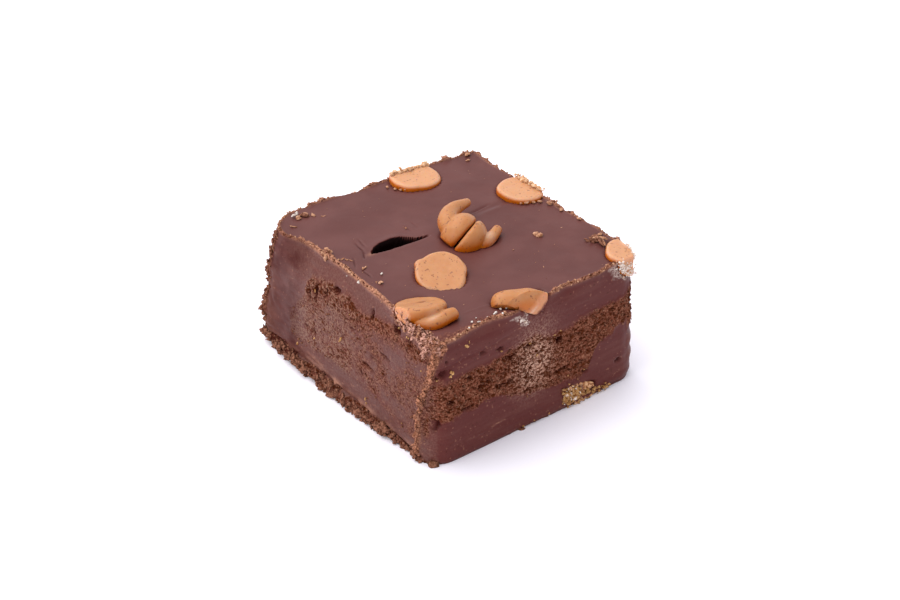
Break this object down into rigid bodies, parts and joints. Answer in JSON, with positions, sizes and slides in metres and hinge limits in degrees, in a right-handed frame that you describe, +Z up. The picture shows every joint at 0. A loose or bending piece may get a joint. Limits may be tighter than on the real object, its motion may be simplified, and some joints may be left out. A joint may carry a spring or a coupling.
{
  "type": "chocolate fudge square",
  "caption": "Hand-cut square of chocolate fudge with peanut-butter baking chips set in its top and sides, resting flat.",
  "frame": {"origin": "on the resting surface, under the middle of the whole piece's box", "axes": "+Z up out of the poured top; -Y out of the smoother cut side with the two cut chips; -X out of the most crumbled cut side"},
  "size_m": [0.0474, 0.0496, 0.0286],
  "materials": {
    "fudge": "chocolate fudge: satin poured top, smeared and crumbled cut sides",
    "peanut_chip": "smooth waxy tan confectionery chip",
    "crushed_chip": "crushed confectionery chip mixed with fudge, yellowish brown and crumbly"
  },
  "bodies": {
    "root": {"fudge_block": "fudge", "chip_disc": "peanut_chip", "chip_rear_left": "peanut_chip", "chip_rear_right": "peanut_chip", "chip_corner": "peanut_chip", "chip_curl_left": "peanut_chip", "chip_curl_right": "peanut_chip", "chip_front_left": "peanut_chip", "chip_front_edge": "peanut_chip", "chip_foot": "crushed_chip"}
  },
  "joints": []
}
